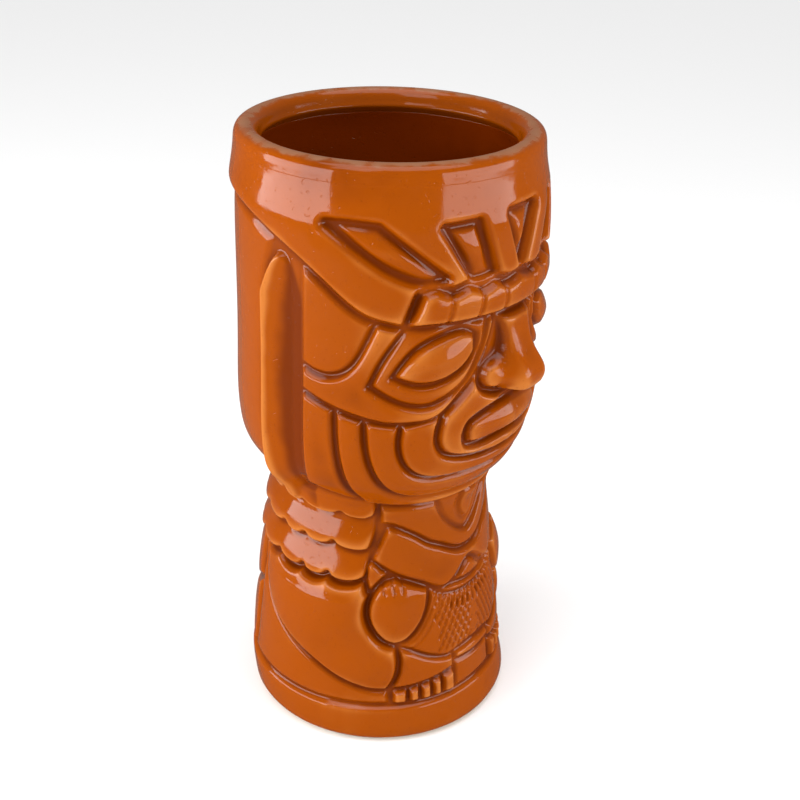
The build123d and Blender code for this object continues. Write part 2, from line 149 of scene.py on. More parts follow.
BEARD = [
    [(71, 104.6), (70.6, 97), (69, 88), (65.5, 80), (61, 74.2)],
    [(60.3, 102.5), (59.6, 95), (57, 87.5), (52, 81.6), (44, 77.6), (34, 76), (FRONT, 75.6)],
    [(47, 101.4), (47.8, 96), (46, 90.5), (42, 86.8), (36, 84.5), (28, 83.6), (FRONT, 83.2)],
    [(31.6, 103.6), (33.4, 99.5), (33.5, 95.5), (31, 92.2), (26, 90.2), (18, 89), (FRONT, 88.4)],
]
NOSE_SIDE = [(11, 126.6), (8.5, 121), (9.5, 117), (13.5, 115.2), (17, 113), (17.4, 109.8),
             (15, 107.6)]
NOSE_FOOT = [(15, 107.6), (9, 106), (FRONT, 105.2)]
MOUTH_TOP = [(22.6, 96.8), (21.6, 99.2), (18.5, 100.9), (13, 102.2), (7, 103), (FRONT, 103.4)]
MOUTH_FOOT = [(22.6, 96.8), (21.6, 94), (17.5, 92.8), (10, 93.2), (FRONT, 93.8)]


def scallops(low, start, drop, lobes, shift):
    """Scalloped lower edge of a tier of hair, from the back to the front."""
    turn = np.linspace(BACK, start, 140)
    place = (turn - start) / (180 - start) * lobes + 0.12 * np.sin(0.11 * turn + shift)
    lobe = np.abs(np.mod(place, 1) * 2 - 1)
    return np.stack([turn, low + drop * (1 - np.sqrt(1 - 0.96 * lobe ** 2))], axis=1)


TIER_1 = scallops(68.3, 58, 2.1, 7, 0.3)
TIER_2 = scallops(58.2, 59, 2.3, 7, 1.7)
TIER_3 = scallops(49.0, 61, 2.2, 7, 2.9)
TIER_1_END = [tuple(TIER_1[-1]), (56, 70), (55.2, 74)]
TIER_2_END = [tuple(TIER_2[-1]), (57.4, 61), (55.6, 65), (54.8, 70)]
TIER_3_END = [tuple(TIER_3[-1]), (59.6, 52), (58.4, 56), (56, 60.5), (54.2, 63.5)]
COLLAR_TOP = [(24.5, 72.5), (19.7, 67.8), (13, 63.6), (7.4, 61.2), (2, 59.8), (FRONT, 59.5)]
COLLAR_FOOT = [(54.2, 66.3), (48, 66.1), (41, 64.6), (33, 62), (27.4, 59.9), (18.6, 57.6),
               (13, 56), (7.4, 54.8), (FRONT, 54.2)]
SASH_END = [(50.2, 66.2), (52.6, 63.4), (56, 59.2), (58.4, 55.8)]
SASH_FOOT = [(58.4, 55.8), (53, 53.9), (46.3, 51.7), (41, 50.3), (33, 48.4), (27.4, 46.8), (23, 45.6),
             (17.5, 45.2), (13, 46.2), (7.4, 48.4), (3, 50), (FRONT, 50.4)]
HAND_BACK = [(46.3, 51.4), (52, 50), (57, 46.8), (59.4, 42.6), (58.8, 38.6), (55.6, 34.8), (51.5, 32.2),
             (46.5, 30.8)]
HAND_FRONT = [(46.5, 30.8), (41, 31.5), (36, 33.9), (31.6, 37.6), (28.8, 42), (27.6, 46.9)]
APRON_FOOT = [(46.5, 30.8), (44.4, 30.1), (38, 28.6), (32, 26.6), (23, 24.3), (17, 23.6), (13, 24.2),
              (FRONT, 24.8)]
ANKLE = [(44.8, 30.2), (43.6, 25.4), (44.6, 21), (48.6, 16.6)]
LEG_FOOT = [(48.6, 16.6), (56, 16.8), (63, 17.8), (73, 20), (83, 23), (93, 26), (103, 29.4),
            (113, 33.8), (119, 38), (123, 43), (124, 49)]
TOE_TOP = [(48.6, 16.6), (39, 16.7), (33, 17.1), (27, 17.6), (21, 18.3), (14.2, 19.2)]
TOE_LINES = [14.2, 21.5, 27, 33, 39, 46.6]
SASH_FLAP = outline([(60.6, 54.6), (58.4, 55.8), (53, 53.9), (47.6, 52.1)],
                    [(47.6, 52.1), (51, 50.9), (55, 48.6), (58.4, 46.4)],
                    [(58.4, 46.4), (60.6, 50.4), (60.6, 54.6)])


# ---------------------------------------------------------------- the masses
masses = {}


def add(name, runs, level=0.0, swell=0.5, edge=1.0, holes=()):
    """Record a mass: its outline, level over the side, swelling, width of its round edge, holes."""
    masses[name] = dict(shape=outline(*runs) if isinstance(runs, list) else runs, level=level,
                        swell=swell, edge=edge, holes=holes)


def add_head():
    """The carved masses of the head, in one half."""
    add("crown", [BROW_TOP[::-1], [BROW_TOP[0], BRIM[0]], BRIM, [BRIM[-1], (BACK, 190)],
                  [(BACK, 190), (FRONT, 190)], [(FRONT, 190), BROW_TOP[-1]]],
        level=0.6, edge=1.9, holes=tuple(CROWN_PANELS.values()))
    for name, shape in CROWN_PANELS.items():
        add("crown_panel_" + name, shape, level=-1.25, swell=0.9, edge=1.2)
    add("brow", [BROW_TOP, [BROW_TOP[-1], BROW_FOOT[-1]], BROW_FOOT[::-1], [BROW_FOOT[0], BROW_TOP[0]]],
        level=1.0, swell=0.5, edge=1.7)
    add("eye", [EYE_TOP, [EYE_TOP[-1], EYE_FOOT[0]], EYE_FOOT], level=-0.3, swell=1.5, edge=1.0)
    lid = [LID_TOP, [BROW_FOOT[0], LID_FOOT[0]], LID_FOOT]
    add("eye_surround", lid, level=-0.35, swell=0.45, holes=(masses["eye"]["shape"],))
    add("mask", [MASK_FOOT, [MASK_FOOT[-1], LID_FOOT[0]], LID_FOOT, LID_TOP, [LID_TOP[-1], TEMPLE_FOOT[0]],
                 TEMPLE_FOOT, [TEMPLE_FOOT[-1], MASK_FOOT[0]]], level=-0.1, swell=0.5)
    add("temple", [TEMPLE_FOOT, [TEMPLE_FOOT[-1], (EAR_FRONT, 140.4)],
                   [(EAR_FRONT, 140.4), (76, 136.4), (68, 132), (60, 128.6), (56.5, 127.8)]],
        level=-0.5, swell=0.1)
    add("ear", [[(EAR_FRONT, 70), (EAR_FRONT, 131)],
                [(EAR_FRONT, 131), (87, 137), (91, 141), (95, 141.4), (99, 137.6), (EAR_BACK, 131)],
                [(EAR_BACK, 131), (EAR_BACK, 70)], [(EAR_BACK, 70), (EAR_FRONT, 70)]],
        level=0.0, swell=0.0, edge=0.9)
    add("hair_back", [[(EAR_BACK, 70), (EAR_BACK, 131)], [(EAR_BACK, 131), (99, 137.6), (96, 144.4)],
                      BRIM[6:], [(BACK, 151.3), (BACK, 70)], [(BACK, 70), (EAR_BACK, 70)]],
        level=-0.9, swell=0.2, edge=2.2)
    add("cheek", [[(EAR_FRONT, 108.2), (78, 106.5), (71, 104.6)], BEARD[0],
                  [(61, 74.2), (72, 77), (EAR_FRONT, 80.5)], [(EAR_FRONT, 80.5), (EAR_FRONT, 108.2)]],
        level=-0.1, swell=0.1)
    add("beard_outer", [BEARD[0], JAW[2:], [JAW[-1], BEARD[1][-1]], BEARD[1][::-1],
                        [BEARD[1][0], BEARD[0][0]]], level=-0.1)
    add("beard_middle", [BEARD[1], [BEARD[1][-1], BEARD[2][-1]], BEARD[2][::-1],
                         [BEARD[2][0], BEARD[1][0]]], level=0.0)
    add("beard_inner", [BEARD[2], [BEARD[2][-1], BEARD[3][-1]], BEARD[3][::-1],
                        [BEARD[3][0], BEARD[2][0]]], level=0.1)
    add("nose", [NOSE_SIDE, NOSE_FOOT, [(FRONT, 105.2), (FRONT, 126.6)], [(FRONT, 126.6), (11, 126.6)]],
        level=0.0, swell=0.0, edge=1.4)
    mouth = outline(MOUTH_TOP, [MOUTH_TOP[-1], MOUTH_FOOT[-1]], MOUTH_FOOT[::-1])
    add("muzzle", [MASK_FOOT[6:10], [(18, 113), (17.2, 112)], [(17.2, 112), (17.4, 109.8), (15, 107.6)],
                   NOSE_FOOT, [NOSE_FOOT[-1], BEARD[3][-1]], BEARD[3][::-1]],
        level=0.3, swell=0.5, edge=1.3, holes=(mouth,))
    add("lower_lip", mouth, level=-0.3, swell=1.3, edge=1.2)


def add_body():
    """The masses under the jaw, down to the foot."""
    add("hair_tier_upper", np.concatenate([TIER_1, smooth_run(TIER_1_END), [(55.2, 76), (BACK, 76)]]),
        level=0.2, swell=0.0, edge=0.8)
    add("hair_tier_middle", np.concatenate([TIER_2, smooth_run(TIER_2_END), TIER_1[::-1]]),
        level=0.2, swell=0.0, edge=0.8)
    lowest = np.concatenate([TIER_3, smooth_run(TIER_3_END), [(56.4, 62.6)], TIER_2[::-1]])
    add("hair_tier_lower", lowest, level=0.2, swell=0.0, edge=0.8)
    add("collar", [COLLAR_FOOT[::-1], [COLLAR_FOOT[0], (54.8, 73)], [(54.8, 73), (24.5, 72.5)], COLLAR_TOP,
                   [COLLAR_TOP[-1], COLLAR_FOOT[-1]]], level=0.1, swell=0.3)
    hook = outline([(FRONT, 72.5), (6.5, 72.5)], [(6.5, 72.5), (7.6, 67.5), (5, 64)],
                   [(5, 64), (0, 62.2), (FRONT, 62.2)], [(FRONT, 62.2), (FRONT, 72.5)])
    add("pendant", hook, level=-0.3, swell=0.5)
    add("chest", [COLLAR_TOP[::-1], [(24.5, 72.5), (FRONT, 72.5)], [(FRONT, 72.5), (FRONT, 59.5)]],
        level=-0.9, swell=0.1, holes=(hook,))
    add("sash", [COLLAR_FOOT[::-1], [COLLAR_FOOT[0], SASH_END[0]], SASH_END, SASH_FOOT,
                 [SASH_FOOT[-1], COLLAR_FOOT[-1]]], level=0.3, swell=0.4, edge=1.2)
    add("sash_flap", SASH_FLAP, level=0.35, swell=0.3, edge=0.8)
    add("belt_knot", [[(13.2, 45.8), (7.4, 48.2), (3, 49.9), (FRONT, 50.4)], [(FRONT, 50.4), (FRONT, 44.9)],
                      [(FRONT, 44.9), (6, 45), (13.2, 45.8)]], level=0.0, swell=0.6)
    add("belt_roll", [[(21.5, 44.9), (13.2, 45.4), (6, 44.8), (FRONT, 44.7)], [(FRONT, 44.7), (FRONT, 42.2)],
                      [(FRONT, 42.2), (8, 42.4), (18, 43.4), (25, 45.6)], [(25, 45.6), (21.5, 44.9)]],
        level=-0.1, swell=0.4, edge=0.8)
    add("hand", [HAND_BACK, HAND_FRONT, [HAND_FRONT[-1], (33, 48.4), (41, 50.3), (46.3, 51.4)]],
        level=0.5, swell=1.0, edge=1.2)
    teeth = outline([(FRONT, 42.2), (8, 42.4), (18, 43.4)], [(18, 43.4), (20.5, 38.6)],
                    [(20.5, 38.6), (10, 36.8), (FRONT, 36.4)], [(FRONT, 36.4), (FRONT, 42.2)])
    add("fringe", teeth, level=-0.1, swell=0.3, edge=0.8)
    add("apron", [APRON_FOOT, [(FRONT, 24.8), (FRONT, 42)], [(FRONT, 42), (8, 42.2), (18, 43.2), (25, 45.4),
                  (27.6, 46.9)], HAND_FRONT[::-1]], level=-0.2, swell=0.5, edge=0.8)
    # the leg stops under the arm and the sash's flap
    over_hand = outline([(40, 46.8), (58.9, 46.8)], [(58.9, 46.8), (60.8, 50.4), (60.8, 60)],
                        [(60.8, 60), (40, 60)], [(40, 60), (40, 46.8)])
    add("leg", [HAND_BACK, [(46.5, 30.8), (44.8, 30.2)], ANKLE, LEG_FOOT,
                [(124, 49), (124, 53)], [(124, 53), (61, 53)], [(61, 53), (46.3, 51.4)]],
        level=0.5, swell=1.1, edge=1.2, holes=(lowest, over_hand))
    add("foot_top", [APRON_FOOT[1:6], [(17, 23.6), (14.2, 24)], [(14.2, 24), (14.2, 19.2)], TOE_TOP[::-1],
                     ANKLE[::-1]], level=0.1, swell=0.5)
    for number, (near, away) in enumerate(zip(TOE_LINES, TOE_LINES[1:])):
        high, low = np.interp([-near, -away], *(np.array(TOE_TOP) * [-1, 1]).T)
        add(f"toe_{number}", [[(near, FOOT_TOP), (near, high)], [(near, high), (away, low)],
                              [(away, low), (away, FOOT_TOP)], [(away, FOOT_TOP), (near, FOOT_TOP)]],
            level=0.5, swell=0.9, edge=0.75)
    add("front_flap", [[(FRONT, FOOT_TOP), (14.2, FOOT_TOP)], [(14.2, FOOT_TOP), (14.2, 21)],
                       [(14.2, 21), (7, 20.5), (FRONT, 20.3)], [(FRONT, 20.3), (FRONT, FOOT_TOP)]],
        level=-0.3, swell=0.2)
    add("flap_band", [[(FRONT, 20.3), (7, 20.5), (14.2, 21)], [(14.2, 21), (14.2, 24)],
                      [(14.2, 24), (FRONT, 24.8)], [(FRONT, 24.8), (FRONT, 20.3)]], level=0.0, swell=0.4)
    add("robe_side", [[(46.6, FOOT_TOP), (130, FOOT_TOP)], [(130, FOOT_TOP), (128, 30), (129, 42), (132, 53)],
                      [(132, 53), (124, 53)], LEG_FOOT[::-1], [LEG_FOOT[0], (46.6, FOOT_TOP)]],
        level=-0.2, swell=0.4, holes=(lowest,))
    add("robe_back_low", [[(130, FOOT_TOP), (BACK, FOOT_TOP)], [(BACK, FOOT_TOP), (BACK, 27)],
                          [(BACK, 27), (165, 27.6), (145, 30), (128.4, 35.6)],
                          [(128.4, 35.6), (127.6, 28), (130, FOOT_TOP)]], level=-0.1, swell=0.5)
    add("robe_back_high", [[(128.4, 35.6), (145, 30), (165, 27.6), (BACK, 27)], [(BACK, 27), (BACK, 53)],
                           [(BACK, 53), (132, 53)], [(132, 53), (129.4, 43), (128.4, 35.6)]],
        level=-0.1, swell=0.5, holes=(lowest,))
    add("foot", [[(FRONT, FOOT_TOP), (FRONT, -60)], [(FRONT, -60), (BACK, -60)],
                 [(BACK, -60), (BACK, FOOT_TOP)], [(BACK, FOOT_TOP), (FRONT, FOOT_TOP)]],
        level=0.1, swell=0.0, edge=1.4)


FAR = 9.0               # mm, stands for any distance past the margin
MARGIN = 4.0            # mm round an outline in which distances are worked out


def reach(turn, height, shape, across):
    """Distance in mm inside an outline, negative outside it, for every point of the half skin."""
    low, high = shape.min(axis=0), shape.max(axis=0)
    near = ((turn > low[0] - MARGIN / across) & (turn < high[0] + MARGIN / across)
            & (height > low[1] - MARGIN) & (height < high[1] + MARGIN))
    result = np.full(turn.shape, -FAR)
    points = np.stack([turn[near] * across, height[near]], axis=1)
    corners = shape * [across, 1.0]
    distance = np.full(len(points), FAR ** 2)
    inside = np.zeros(len(points), bool)
    for start, end in zip(corners, np.roll(corners, -1, axis=0)):
        side = end - start
        length = side @ side
        if length < 1e-9:
            continue
        along = np.clip((points - start) @ side / length, 0, 1)
        gap = points - start - along[:, None] * side
        distance = np.minimum(distance, (gap ** 2).sum(axis=1))
        if abs(side[1]) > 1e-12:
            crosses = (start[1] > points[:, 1]) != (end[1] > points[:, 1])
            where = side[0] * (points[:, 1] - start[1]) / side[1] + start[0]
            inside ^= crosses & (points[:, 0] < where)
    result[near] = np.where(inside, 1, -1) * np.sqrt(distance)
    return result


# ---------------------------------------------------------------- the half skin
HALF = 300                                  # columns from the front to the back
ROWS = 430                                  # from the foot to the lip
SKIN_FOOT, SKIN_TOP = SIDE_Z[0], SIDE_Z[-1]
spread = np.linspace(0, 1, HALF + 1)
turns = 180 * (spread - 0.25 * np.sin(pi * spread) / pi)        # finer towards the front
fine = np.linspace(SKIN_FOOT, SKIN_TOP, 4000)
path = np.r_[0, np.cumsum(np.hypot(np.diff(fine), np.diff(side_radius(fine))))]
heights = np.interp(np.linspace(0, path[-1], ROWS), path, fine)
turn, height = np.meshgrid(turns, heights)


def stroke(points, wide):
    """1 on a line drawn through the points, falling to 0 at half its width either side."""
    points = smooth_run(points, 5) * [DEGREE, 1.0]
    best = np.full(turn.shape, 1e9)
    for start, end in zip(points, points[1:]):
        side = end - start
        dx, dy = turn * DEGREE - start[0], height - start[1]
        along = np.clip((dx * side[0] + dy * side[1]) / (side @ side), 0, 1)
        best = np.minimum(best, (dx - along * side[0]) ** 2 + (dy - along * side[1]) ** 2)
    return ease(1, 0, np.sqrt(best) / (wide / 2))


def nose_form():
    """Height of the nose over the face: a straight bridge, a round tip and two wings."""
    down = ease(127, 108, height)
    bridge = (1.2 + 3.4 * down) * ease(9.5 + 1.5 * down, 4, turn)
    tip = 2.6 * bump(turn, height, 0, 110.5, 8.2, 5.0)
    wing = 2.4 * bump(turn, height, 10.2, 110.8, 5.6, 4.4)
    nostril = -1.6 * bump(turn, height, 9.8, 107.6, 2.6, 1.5)
    notch = -1.1 * bump(turn, height, 8.6, 116.5, 2.2, 3.6)
    return bridge + tip + wing + nostril + notch


def ear_form():
    """Height of the ear: a tall crest at its back that falls in a hollow sweep to its front."""
    along = np.clip((turn - EAR_FRONT) / (EAR_BACK - 2 - EAR_FRONT), 0, 1)
    return -2.1 + 4.3 * along ** 1.5


def tier_form(low, high):
    """A tier of hair stands out at its scalloped edge and sinks under the tier over it."""
    return 1.1 - 2.2 * ease(low, high, height)


def form_of(name):
    """What a mass has over its plain level, beside its rounded edge."""
    if name == "nose":
        return nose_form()
    if name == "ear":
        return ear_form()
    if name == "brow":
        return 0.5 * bump(0 * turn, height, 0, 131.5, 1, 3.2)
    if name == "crown":
        return 0.55 * ease(60, 20, turn) * ease(158, 148, height) - 0.6 * ease(150, 160, height)
    if name.startswith("crown_panel"):
        return 0.8 * bump(0 * turn, height, 0, 145, 1, 3.4)
    if name == "hair_tier_upper":
        return tier_form(69.5, 78)
    if name == "hair_tier_middle":
        return tier_form(60, 69)
    if name == "hair_tier_lower":
        return tier_form(50.5, 59)
    if name == "leg":
        return (1.9 * bump(turn, height, 80, 41, 24, 9.5) + 0.9 * bump(turn, height, 58, 25, 14, 6)
                - 0.5 * ease(100, 124, turn))
    if name == "hand":
        return 1.0 * bump(turn, height, 45, 42, 11, 7)
    if name == "eye":
        return 1.0 * bump(turn, height, 33, 118, 11, 4.2)
    if name == "lower_lip":
        return 1.4 * bump(turn, height, 0, 97.5, 15, 3.6)
    if name == "muzzle":
        return 0.9 * ease(30, 4, turn) * bump(0 * turn, height, 0, 97, 1, 8)
    if name == "eye_surround":
        return -0.5 * ease(118, 126, height)
    if name == "mask":
        return 0.35 * bump(turn, height, 40, 103, 18, 3)
    return 0 * turn


add_head()
add_body()
names = list(masses)
depths = []
sunk = GROOVE - 0.35 * ease(74, 66, height)     # the body's cut lines are shallower
skin = -sunk
for name, mass in masses.items():
    across = radians(1) * float(side_radius(np.clip(mass["shape"][:, 1].mean(), 2, 160)))
    depth = reach(turn, height, mass["shape"], across)
    for hole in mass["holes"]:
        depth = np.minimum(depth, -reach(turn, height, hole, across))
    rise = ease(FLAT_FLOOR, 0.35 + mass["edge"], depth)
    swelling = mass["swell"] * (1 - np.exp(-np.maximum(depth - SWELL_START, 0) / SWELL_RUN))
    top = mass["level"] + swelling + form_of(name)
    skin = np.where(depth > 0, np.maximum(skin, -sunk + (sunk + top) * rise), skin)
    depths.append(depth)
label = np.argmax(np.array(depths), axis=0)
depths = dict(zip(names, depths))


# Fine lines cut into the masses after they are formed: the lines, their width and depth in mm,
# and the mass that they stay inside.
SCALES = [[(x, y), (x + 1.5, y - 0.5), (x + 2.2, y - 1.7)] for row, y in enumerate(np.arange(27.6, 46, 2.1))
          for x in np.arange(2.0 + row % 2 * 1.9, 24 - abs(y - 39) * 0.25, 3.8)]
FINE_LINES = [
    ([[(9, 125), (8.5, 138)], [(21, 125), (18, 138)], [(32.5, 125), (29.5, 138)]], 1.7, 0.7, "brow"),
    ([BROW_TOP], 3.4, -1.0, None),          # the locks roll out from under the crown
    ([[(52.4, 50.5), (50.6, 46.8)], [(47.6, 51.4), (46.2, 47)], [(43, 51), (42, 47.4)]], 1.1, 0.8, "hand"),
    ([[(24.4, 44.6), (26.4, 41), (30, 36.6), (35, 32.4), (41, 29.8)],
      [(21.6, 43.8), (23.8, 39.8), (27.6, 35), (32.6, 31), (37.4, 28.8)]], 0.9, 0.6, "apron"),
    (SCALES, 1.0, 0.75, "apron"),
    ([[(x, 41.8), (x * 1.12, 36.6)] for x in (0, 3.6, 7.2, 10.8, 14.4)], 1.1, 0.8, "fringe"),
    ([[(11, 126), (12.3, 121.5), (14.5, 117.5), (17, 114.4)]], 1.2, 0.4, None),
    ([[(33, 108.2), (39, 107.8), (47, 108.9)]], 0.8, 0.35, "eye_surround"),
    ([[(3, 91.3), (10, 91), (17, 91.2), (22, 92.6)], [(2, 89.9), (10, 89.3), (17, 89.9)]], 0.9, 0.5,
     "muzzle"),
    ([[(3, 46.6), (9, 46.9), (12, 46.4)]], 0.7, 0.4, "belt_knot"),
    ([[(127, 34.5), (126, 47)], [(121.5, 36.5), (122.4, 46)]], 1.0, 0.6, "robe_side"),
]
for lines, wide, deep, where in FINE_LINES:
    for line in lines:
        mark = stroke(line, wide)
        if where is not None:
            mark = mark * ease(0.2, 1.0, depths[where])
        skin = skin - deep * mark


# ---------------------------------------------------------------- the whole skin
def mirrored(half):
    """A half-skin array carried round to the other side."""
    return np.concatenate([half[:, :0:-1], half[:, :-1]], axis=1)


all_turns = np.r_[-turns[:0:-1], turns[:-1]]
whole = mirrored(skin)
slow = sum(np.sin(np.radians(all_turns)[None, :] * k + p) * np.sin(heights[:, None] / w + p * 2)
           for k, p, w in ((3, 0.4, 17), (5, 2.1, 11), (7, 4.0, 23)))
whole = whole + UNEVEN * slow
whole = whole - LEAN * np.cos(np.radians(all_turns))[None, :] * ease(72, 60, heights)[:, None] \
    * ease(2, 12, heights)[:, None]
whole = whole - CHIN_SLANT * ease(75, 20, np.abs(all_turns))[None, :] \
    * bump(heights, 0, 84, 0, 11, 1)[:, None]


def blurred(field, times):
    """Field spread to its neighbours, round the mug and up it."""
    for _ in range(times):
        field = (field + 0.5 * (np.roll(field, 1, 1) + np.roll(field, -1, 1))) / 2
        field = np.concatenate([field[:1], (field[1:-1] * 2 + field[2:] + field[:-2]) / 4, field[-1:]])
    return field


whole = blurred(whole, 1)                   # the glaze rounds every edge
# how deep the glaze lies, 0 to 1, with painted shade in it: more where the skin is under its surroundings,
# near and wide, and more the further the skin is sunk, which is partly glaze gathering and partly painted
# shade in the cuts
pool_and_shade = (0.5 + 0.34 * (blurred(whole, 10) - whole) + 0.22 * (blurred(whole, 60) - whole)
        + 0.07 * np.clip(-0.5 - mirrored(skin), 0, 2))
# painted shade: the ear's front hollow is darkened as if its glaze lay deeper there
pool_and_shade = pool_and_shade + mirrored(0.36 * ease(97, 86, turn) * ease(0, 1.2, depths["ear"]))
pool_and_shade = np.clip(pool_and_shade, 0, 1)
pool_and_shade = blurred(pool_and_shade, 1)
radius = side_radius(heights)
slope = np.gradient(radius, heights)
out_r, out_z = 1 / np.hypot(1, slope), -slope / np.hypot(1, slope)
edge_fade = ease(SKIN_TOP, 150, heights) * ease(SKIN_FOOT, 2.6, heights)
whole = whole * edge_fade[:, None]
ring_r = radius[:, None] + whole * out_r[:, None]
ring_z = heights[:, None] + whole * out_z[:, None]
angle = np.radians(all_turns)[None, :]
places = np.stack([ring_r * np.sin(angle), -ring_r * np.cos(angle), ring_z + 0 * angle], axis=2) * MM
THICK = 3.2                                 # every piece is this deep, towards the wall
behind_r = (radius - THICK)[:, None] + 0 * angle
behind = np.stack([behind_r * np.sin(angle), -behind_r * np.cos(angle),
                   heights[:, None] + 0 * angle], axis=2) * MM
across_way = np.roll(places, -1, 1) - np.roll(places, 1, 1)
up_way = np.gradient(places, axis=0)
facings = np.cross(across_way, up_way)
facings /= np.linalg.norm(facings, axis=2, keepdims=True)
COLUMNS = len(all_turns)

SIDED = ("eye", "eye_surround", "mask", "temple", "ear", "cheek", "hand", "leg", "foot_top", "toes",
         "robe_side")
PART_OF = {"sash_flap": "sash", "chest": "collar"}   # masses that belong to another's node


def node_of(name):
    """The mug's node that a mass belongs to, without its side."""
    if name.startswith("crown_panel"):
        return "crown"
    if name.startswith("toe_"):
        return "toes"
    return PART_OF.get(name, name)


base_names = list(dict.fromkeys(node_of(n) for n in names))
to_base = np.array([base_names.index(node_of(n)) for n in names])
whole_label = mirrored(to_base[label])


# ---------------------------------------------------------------- pieces of the skin
def cut_piece(name, belongs):
    """The closed piece of the skin where belongs is true, one face for each grid square."""
    rows, columns = np.nonzero(belongs)
    low_r, high_r = rows.min(), rows.max() + 1
    low_c, high_c = columns.min(), columns.max() + 1
    tall, wide = int(high_r - low_r), int(high_c - low_c)
    shell = bmesh.new()
    bmesh.ops.create_grid(shell, x_segments=wide, y_segments=tall, size=0.5)
    row_of = shell.verts.layers.int.new("row")
    column_of = shell.verts.layers.int.new("column")
    front_of = shell.verts.layers.int.new("front")
    for vert in shell.verts:
        vert[column_of] = int(round((vert.co.x + 0.5) * wide)) + int(low_c)
        vert[row_of] = int(round((vert.co.y + 0.5) * tall)) + int(low_r)
    spare = []
    for face in shell.faces:
        r = min(v[row_of] for v in face.verts)
        c = min(v[column_of] for v in face.verts)
        if not belongs[r, c]:
            spare.append(face)
    bmesh.ops.delete(shell, geom=spare, context="FACES")
    if wide >= COLUMNS:                     # it goes all the way round, so its two ends are joined
        for vert in shell.verts:
            vert.co = places[vert[row_of], vert[column_of] % COLUMNS]
        bmesh.ops.remove_doubles(shell, verts=shell.verts, dist=0.01 * MM)
    raised = bmesh.ops.extrude_face_region(shell, geom=list(shell.faces), use_keep_orig=True)
    for item in raised["geom"]:
        if isinstance(item, bmesh.types.BMVert):
            item[front_of] = 1
    mesh = bpy.data.meshes.new(name)
    shell.to_mesh(mesh)
    shell.free()
    count = len(mesh.vertices)
    at = {}
    for key in ("row", "column", "front"):
        at[key] = np.zeros(count, np.int32)
        mesh.attributes[key].data.foreach_get("value", at[key])
    at["column"] %= COLUMNS
    front = at["front"] == 1
    spots = np.where(front[:, None], places[at["row"], at["column"]], behind[at["row"], at["column"]])
    mesh.vertices.foreach_set("co", spots.ravel())
    for key in ("row", "column", "front"):
        mesh.attributes.remove(mesh.attributes[key])
    shell = bmesh.new()
    shell.from_mesh(mesh)
    bmesh.ops.recalc_face_normals(shell, faces=shell.faces)
    shell.to_mesh(mesh)
    shell.free()
    # the glaze depth, with its painted shade in the cuts and the ear's hollow, for the glaze's colour
    depth = mesh.attributes.new("pool_and_shade", "FLOAT", "POINT")
    depth.data.foreach_set("value", pool_and_shade[at["row"], at["column"]].astype(np.float32))
    ways = facings[at["row"], at["column"]] * np.where(front, 1, -1)[:, None]
    mesh.shade_smooth()
    mesh.normals_split_custom_set_from_vertices(ways.tolist())
    return mesh


def add_piece(name, mesh, slot, *nodes):
    """A finished piece that stands for the named nodes."""
    piece = bpy.data.objects.new(name, mesh)
    bpy.context.scene.collection.objects.link(piece)
    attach(piece, "root")
    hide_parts(*nodes)


def turned(name, profile, steps=360):
    """A closed ring or bowl: a profile of radius and height in mm, turned about the middle."""
    ring = bmesh.new()
    verts = [ring.verts.new((r * MM, 0, z * MM)) for r, z in profile]
    edges = [ring.edges.new(pair) for pair in zip(verts, verts[1:])]
    if profile[0][0] > 0:
        edges.append(ring.edges.new((verts[-1], verts[0])))
    bmesh.ops.spin(ring, geom=verts + edges, axis=(0, 0, 1), cent=(0, 0, 0), angle=2 * pi, steps=steps,
                   use_merge=True)
    bmesh.ops.remove_doubles(ring, verts=ring.verts, dist=0.005 * MM)
    bmesh.ops.recalc_face_normals(ring, faces=ring.faces)
    mesh = bpy.data.meshes.new(name)
    ring.to_mesh(mesh)
    ring.free()
    mesh.shade_smooth()
    return mesh


# ---------------------------------------------------------------- glazes and clay
def rgb(red, green, blue):
    """A colour from display values of 0 to 255."""
    def linear(value):
        value /= 255
        return value / 12.92 if value <= 0.04045 else ((value + 0.055) / 1.055) ** 2.4
    return (linear(red), linear(green), linear(blue), 1.0)


def put(tree, kind, settings=None, **sockets):
    """A node in a tree, with its settings and its sockets, by number or by name."""
    item = tree.nodes.new(kind)
    for key, value in (settings or {}).items():
        setattr(item, key, value)
    for key, value in sockets.items():
        socket = item.inputs[int(key[1:])] if key[0] == "_" else item.inputs[key.replace("_", " ")]
        if isinstance(value, bpy.types.NodeSocket):
            tree.links.new(value, socket)
        else:
            socket.default_value = value
    return item


def noise(tree, where, scale, detail=2.0, rough=0.5):
    return put(tree, "ShaderNodeTexNoise", Vector=where, Scale=scale, Detail=detail,
               Roughness=rough).outputs[0]


def between(tree, value, low, high, out_low=0.0, out_high=1.0):
    return put(tree, "ShaderNodeMapRange", {"interpolation_type": "SMOOTHSTEP"}, Value=value,
               _1=low, _2=high, _3=out_low, _4=out_high).outputs[0]


def blend_colours(tree, amount, first, second):
    return put(tree, "ShaderNodeMix", {"data_type": "RGBA"}, _0=amount, _6=first, _7=second).outputs[2]


def do_sum(tree, what, first, second):
    return put(tree, "ShaderNodeMath", {"operation": what}, _0=first, _1=second).outputs[0]


def new_group(name, inputs, outputs):
    group = bpy.data.node_groups.new(name, "ShaderNodeTree")
    for way, sockets in (("INPUT", inputs), ("OUTPUT", outputs)):
        for socket_name, kind in sockets:
            group.interface.new_socket(socket_name, in_out=way, socket_type=kind)
    return group, group.nodes.new("NodeGroupInput"), group.nodes.new("NodeGroupOutput")


